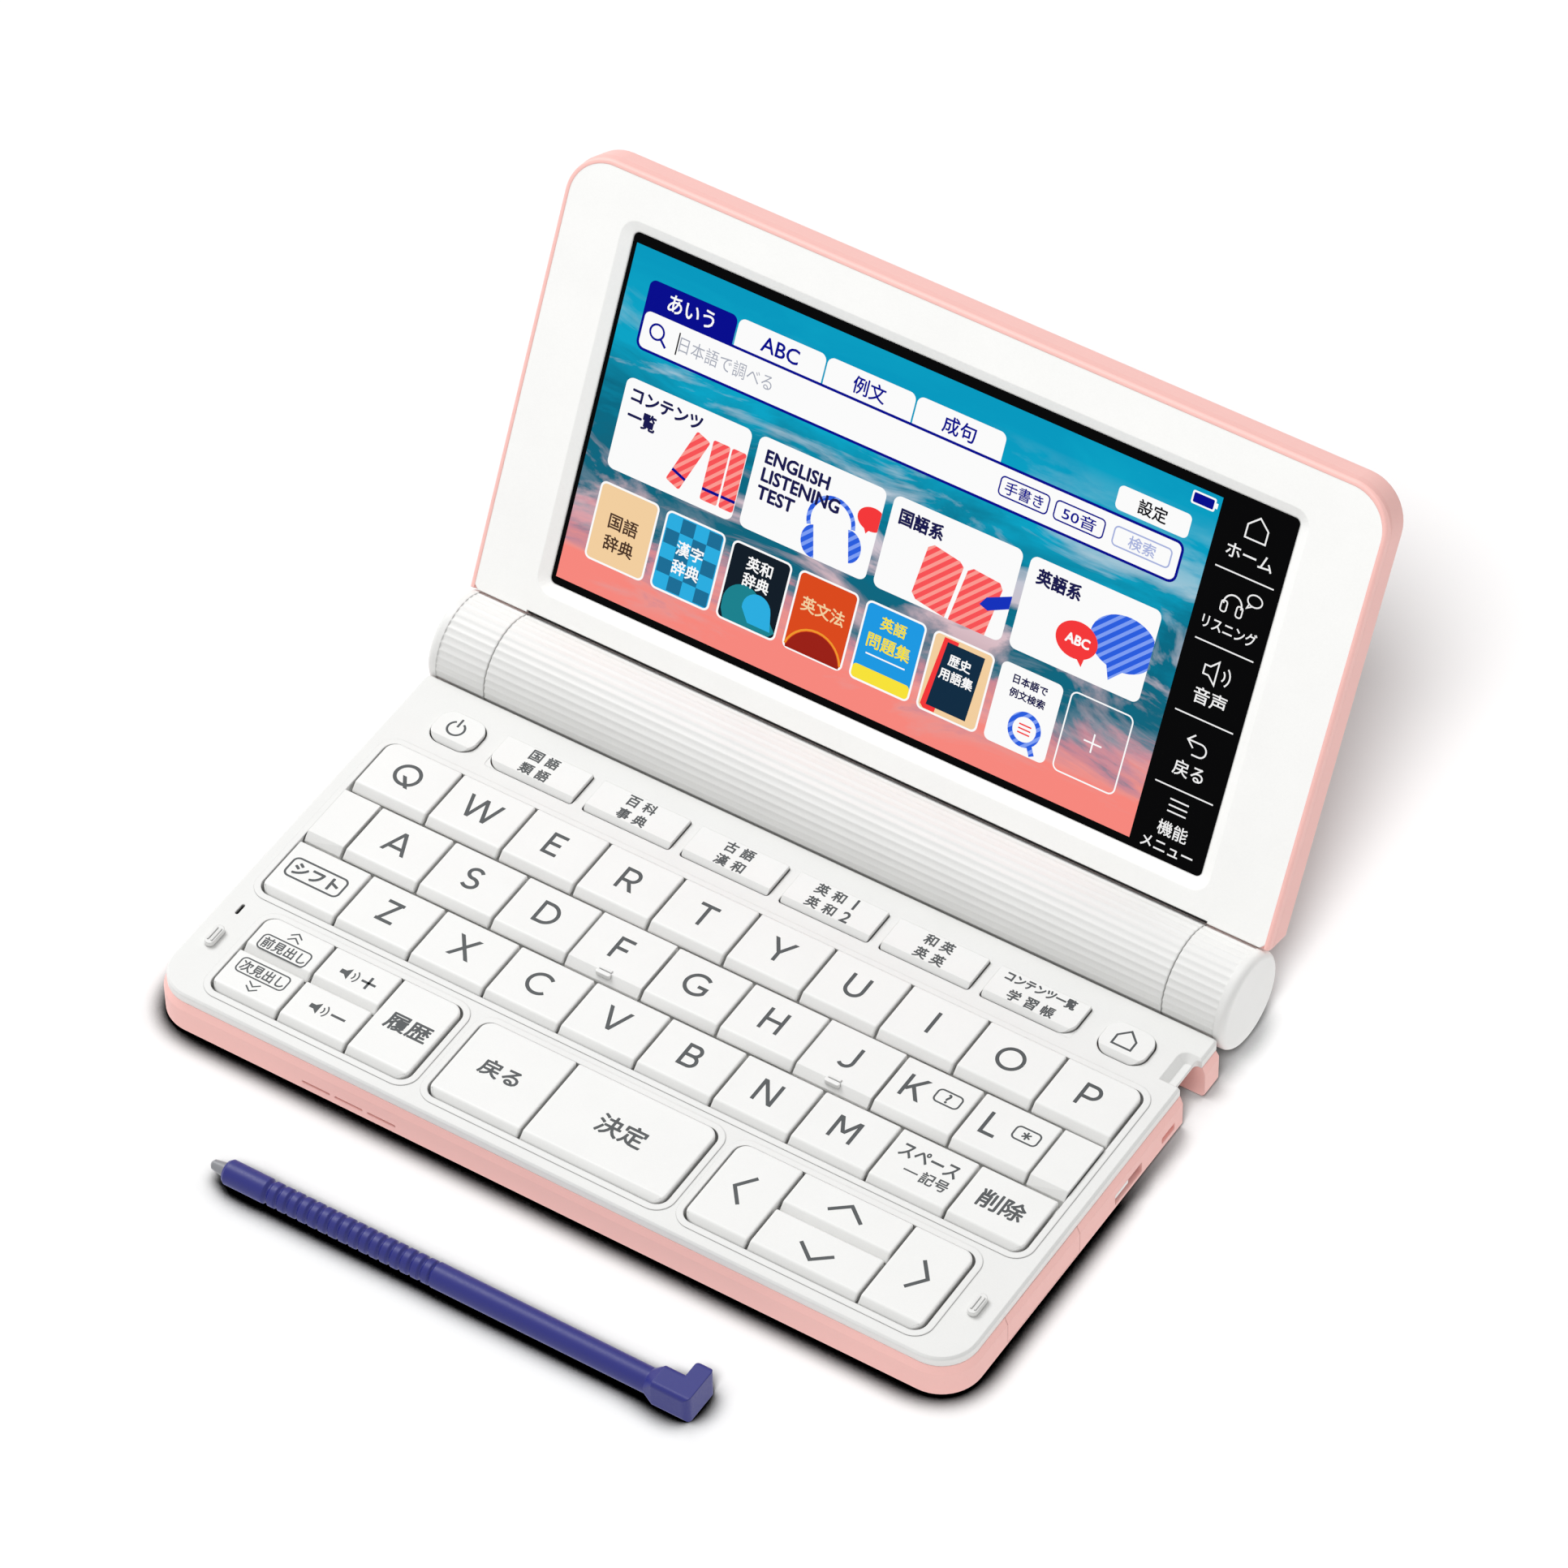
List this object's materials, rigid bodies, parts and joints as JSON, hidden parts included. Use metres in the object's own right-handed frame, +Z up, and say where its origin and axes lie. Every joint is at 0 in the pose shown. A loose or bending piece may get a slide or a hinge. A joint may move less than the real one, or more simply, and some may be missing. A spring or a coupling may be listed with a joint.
{
  "type": "electronic dictionary",
  "caption": "Pocket electronic dictionary: clamshell with letter keyboard, wide touch display, fluted battery barrel as its hinge, and a stylus.",
  "frame": {"origin": "on the table, under the middle of the whole object's box", "axes": "+X to the user's right, +Y to the back, +Z up; lid open as pictured"},
  "size_m": [0.148, 0.154, 0.0851],
  "materials": {
    "case_pink": "fine satin texture",
    "shell_white": "fine satin texture",
    "key_white": "smooth satin",
    "barrel_white": "fine satin texture, fluted",
    "board_green": "solder mask with parts",
    "rubber_grey": "matt silicone",
    "cell_metal": "printed sleeve",
    "foot_rubber": "matt",
    "window_dark": "polished",
    "panel_metal": "plain",
    "pin_steel": "turned",
    "pen_indigo": "satin",
    "pen_tip_grey": "satin"
  },
  "bodies": {
    "base": {"lower_case": "case_pink", "key_deck": "shell_white", "main_board": "board_green", "key_rubber": "rubber_grey", "battery_barrel": "barrel_white", "batteries": "cell_metal", "rubber_feet": "foot_rubber"},
    "lid": {"lid_cover": "case_pink", "lid_bezel": "shell_white", "display_window": "window_dark", "lcd_module": "panel_metal", "hinge_ends": "barrel_white", "hinge_pins": "pin_steel"},
    "battery_door": {"battery_cover": "barrel_white"},
    "card_door": {"card_cover": "case_pink"},
    "pen": {"stylus_barrel": "pen_indigo", "stylus_tip": "pen_tip_grey"},
    "shortcut_strip": {"shortcut_keys": "key_white"},
    "power_cap": {"key_power": "key_white"},
    "home_cap": {"key_home": "key_white"},
    "q_cap": {"key_q": "key_white"},
    "w_cap": {"key_w": "key_white"},
    "e_cap": {"key_e": "key_white"},
    "r_cap": {"key_r": "key_white"},
    "t_cap": {"key_t": "key_white"},
    "y_cap": {"key_y": "key_white"},
    "u_cap": {"key_u": "key_white"},
    "i_cap": {"key_i": "key_white"},
    "o_cap": {"key_o": "key_white"},
    "p_cap": {"key_p": "key_white"},
    "a_cap": {"key_a": "key_white"},
    "s_cap": {"key_s": "key_white"},
    "d_cap": {"key_d": "key_white"},
    "f_cap": {"key_f": "key_white"},
    "g_cap": {"key_g": "key_white"},
    "h_cap": {"key_h": "key_white"},
    "j_cap": {"key_j": "key_white"},
    "k_cap": {"key_k": "key_white"},
    "l_cap": {"key_l": "key_white"},
    "shift_cap": {"key_shift": "key_white"},
    "z_cap": {"key_z": "key_white"},
    "x_cap": {"key_x": "key_white"},
    "c_cap": {"key_c": "key_white"},
    "v_cap": {"key_v": "key_white"},
    "b_cap": {"key_b": "key_white"},
    "n_cap": {"key_n": "key_white"},
    "m_cap": {"key_m": "key_white"},
    "space_cap": {"key_space": "key_white"},
    "delete_cap": {"key_delete": "key_white"},
    "prev_cap": {"key_prev": "key_white"},
    "next_cap": {"key_next": "key_white"},
    "volume_up_cap": {"key_volume_up": "key_white"},
    "volume_down_cap": {"key_volume_down": "key_white"},
    "history_cap": {"key_history": "key_white"},
    "back_cap": {"key_back": "key_white"},
    "enter_cap": {"key_enter": "key_white"},
    "left_cap": {"key_left": "key_white"},
    "up_cap": {"key_up": "key_white"},
    "down_cap": {"key_down": "key_white"},
    "right_cap": {"key_right": "key_white"}
  },
  "joints": [
    {"name": "lid_hinge", "type": "hinge", "parent": "base", "child": "lid", "pos_m": [0, 0.03173, 0.00933], "axis": [-1, 0, 0], "range_deg": [-116.85, 28.15]},
    {"name": "cover_slide", "type": "slide", "parent": "base", "child": "battery_door", "axis": [0, 0.682, -0.7314], "range_m": [0, 0.001]},
    {"name": "card_cover_pull", "type": "slide", "parent": "base", "child": "card_door", "axis": [1, 0, 0], "range_m": [0, 0.004]},
    {"name": "pen_lift", "type": "slide", "parent": "base", "child": "pen", "axis": [0, 0, 1], "range_m": [0, 0.06]},
    {"name": "press_shortcut", "type": "slide", "parent": "base", "child": "shortcut_strip", "axis": [0, 0, -1], "range_m": [0, 0.0009], "stiffness_N_per_m": 300},
    {"name": "press_power", "type": "slide", "parent": "base", "child": "power_cap", "axis": [0, 0, -1], "range_m": [0, 0.0009], "stiffness_N_per_m": 300},
    {"name": "press_home", "type": "slide", "parent": "base", "child": "home_cap", "axis": [0, 0, -1], "range_m": [0, 0.0009], "stiffness_N_per_m": 300},
    {"name": "press_q", "type": "slide", "parent": "base", "child": "q_cap", "axis": [0, 0, -1], "range_m": [0, 0.0009], "stiffness_N_per_m": 300},
    {"name": "press_w", "type": "slide", "parent": "base", "child": "w_cap", "axis": [0, 0, -1], "range_m": [0, 0.0009], "stiffness_N_per_m": 300},
    {"name": "press_e", "type": "slide", "parent": "base", "child": "e_cap", "axis": [0, 0, -1], "range_m": [0, 0.0009], "stiffness_N_per_m": 300},
    {"name": "press_r", "type": "slide", "parent": "base", "child": "r_cap", "axis": [0, 0, -1], "range_m": [0, 0.0009], "stiffness_N_per_m": 300},
    {"name": "press_t", "type": "slide", "parent": "base", "child": "t_cap", "axis": [0, 0, -1], "range_m": [0, 0.0009], "stiffness_N_per_m": 300},
    {"name": "press_y", "type": "slide", "parent": "base", "child": "y_cap", "axis": [0, 0, -1], "range_m": [0, 0.0009], "stiffness_N_per_m": 300},
    {"name": "press_u", "type": "slide", "parent": "base", "child": "u_cap", "axis": [0, 0, -1], "range_m": [0, 0.0009], "stiffness_N_per_m": 300},
    {"name": "press_i", "type": "slide", "parent": "base", "child": "i_cap", "axis": [0, 0, -1], "range_m": [0, 0.0009], "stiffness_N_per_m": 300},
    {"name": "press_o", "type": "slide", "parent": "base", "child": "o_cap", "axis": [0, 0, -1], "range_m": [0, 0.0009], "stiffness_N_per_m": 300},
    {"name": "press_p", "type": "slide", "parent": "base", "child": "p_cap", "axis": [0, 0, -1], "range_m": [0, 0.0009], "stiffness_N_per_m": 300},
    {"name": "press_a", "type": "slide", "parent": "base", "child": "a_cap", "axis": [0, 0, -1], "range_m": [0, 0.0009], "stiffness_N_per_m": 300},
    {"name": "press_s", "type": "slide", "parent": "base", "child": "s_cap", "axis": [0, 0, -1], "range_m": [0, 0.0009], "stiffness_N_per_m": 300},
    {"name": "press_d", "type": "slide", "parent": "base", "child": "d_cap", "axis": [0, 0, -1], "range_m": [0, 0.0009], "stiffness_N_per_m": 300},
    {"name": "press_f", "type": "slide", "parent": "base", "child": "f_cap", "axis": [0, 0, -1], "range_m": [0, 0.0009], "stiffness_N_per_m": 300},
    {"name": "press_g", "type": "slide", "parent": "base", "child": "g_cap", "axis": [0, 0, -1], "range_m": [0, 0.0009], "stiffness_N_per_m": 300},
    {"name": "press_h", "type": "slide", "parent": "base", "child": "h_cap", "axis": [0, 0, -1], "range_m": [0, 0.0009], "stiffness_N_per_m": 300},
    {"name": "press_j", "type": "slide", "parent": "base", "child": "j_cap", "axis": [0, 0, -1], "range_m": [0, 0.0009], "stiffness_N_per_m": 300},
    {"name": "press_k", "type": "slide", "parent": "base", "child": "k_cap", "axis": [0, 0, -1], "range_m": [0, 0.0009], "stiffness_N_per_m": 300},
    {"name": "press_l", "type": "slide", "parent": "base", "child": "l_cap", "axis": [0, 0, -1], "range_m": [0, 0.0009], "stiffness_N_per_m": 300},
    {"name": "press_shift", "type": "slide", "parent": "base", "child": "shift_cap", "axis": [0, 0, -1], "range_m": [0, 0.0009], "stiffness_N_per_m": 300},
    {"name": "press_z", "type": "slide", "parent": "base", "child": "z_cap", "axis": [0, 0, -1], "range_m": [0, 0.0009], "stiffness_N_per_m": 300},
    {"name": "press_x", "type": "slide", "parent": "base", "child": "x_cap", "axis": [0, 0, -1], "range_m": [0, 0.0009], "stiffness_N_per_m": 300},
    {"name": "press_c", "type": "slide", "parent": "base", "child": "c_cap", "axis": [0, 0, -1], "range_m": [0, 0.0009], "stiffness_N_per_m": 300},
    {"name": "press_v", "type": "slide", "parent": "base", "child": "v_cap", "axis": [0, 0, -1], "range_m": [0, 0.0009], "stiffness_N_per_m": 300},
    {"name": "press_b", "type": "slide", "parent": "base", "child": "b_cap", "axis": [0, 0, -1], "range_m": [0, 0.0009], "stiffness_N_per_m": 300},
    {"name": "press_n", "type": "slide", "parent": "base", "child": "n_cap", "axis": [0, 0, -1], "range_m": [0, 0.0009], "stiffness_N_per_m": 300},
    {"name": "press_m", "type": "slide", "parent": "base", "child": "m_cap", "axis": [0, 0, -1], "range_m": [0, 0.0009], "stiffness_N_per_m": 300},
    {"name": "press_space", "type": "slide", "parent": "base", "child": "space_cap", "axis": [0, 0, -1], "range_m": [0, 0.0009], "stiffness_N_per_m": 300},
    {"name": "press_delete", "type": "slide", "parent": "base", "child": "delete_cap", "axis": [0, 0, -1], "range_m": [0, 0.0009], "stiffness_N_per_m": 300},
    {"name": "press_prev", "type": "slide", "parent": "base", "child": "prev_cap", "axis": [0, 0, -1], "range_m": [0, 0.0009], "stiffness_N_per_m": 300},
    {"name": "press_next", "type": "slide", "parent": "base", "child": "next_cap", "axis": [0, 0, -1], "range_m": [0, 0.0009], "stiffness_N_per_m": 300},
    {"name": "press_volume_up", "type": "slide", "parent": "base", "child": "volume_up_cap", "axis": [0, 0, -1], "range_m": [0, 0.0009], "stiffness_N_per_m": 300},
    {"name": "press_volume_down", "type": "slide", "parent": "base", "child": "volume_down_cap", "axis": [0, 0, -1], "range_m": [0, 0.0009], "stiffness_N_per_m": 300},
    {"name": "press_history", "type": "slide", "parent": "base", "child": "history_cap", "axis": [0, 0, -1], "range_m": [0, 0.0009], "stiffness_N_per_m": 300},
    {"name": "press_back", "type": "slide", "parent": "base", "child": "back_cap", "axis": [0, 0, -1], "range_m": [0, 0.0009], "stiffness_N_per_m": 300},
    {"name": "press_enter", "type": "slide", "parent": "base", "child": "enter_cap", "axis": [0, 0, -1], "range_m": [0, 0.0009], "stiffness_N_per_m": 300},
    {"name": "press_left", "type": "slide", "parent": "base", "child": "left_cap", "axis": [0, 0, -1], "range_m": [0, 0.0009], "stiffness_N_per_m": 300},
    {"name": "press_up", "type": "slide", "parent": "base", "child": "up_cap", "axis": [0, 0, -1], "range_m": [0, 0.0009], "stiffness_N_per_m": 300},
    {"name": "press_down", "type": "slide", "parent": "base", "child": "down_cap", "axis": [0, 0, -1], "range_m": [0, 0.0009], "stiffness_N_per_m": 300},
    {"name": "press_right", "type": "slide", "parent": "base", "child": "right_cap", "axis": [0, 0, -1], "range_m": [0, 0.0009], "stiffness_N_per_m": 300}
  ]
}
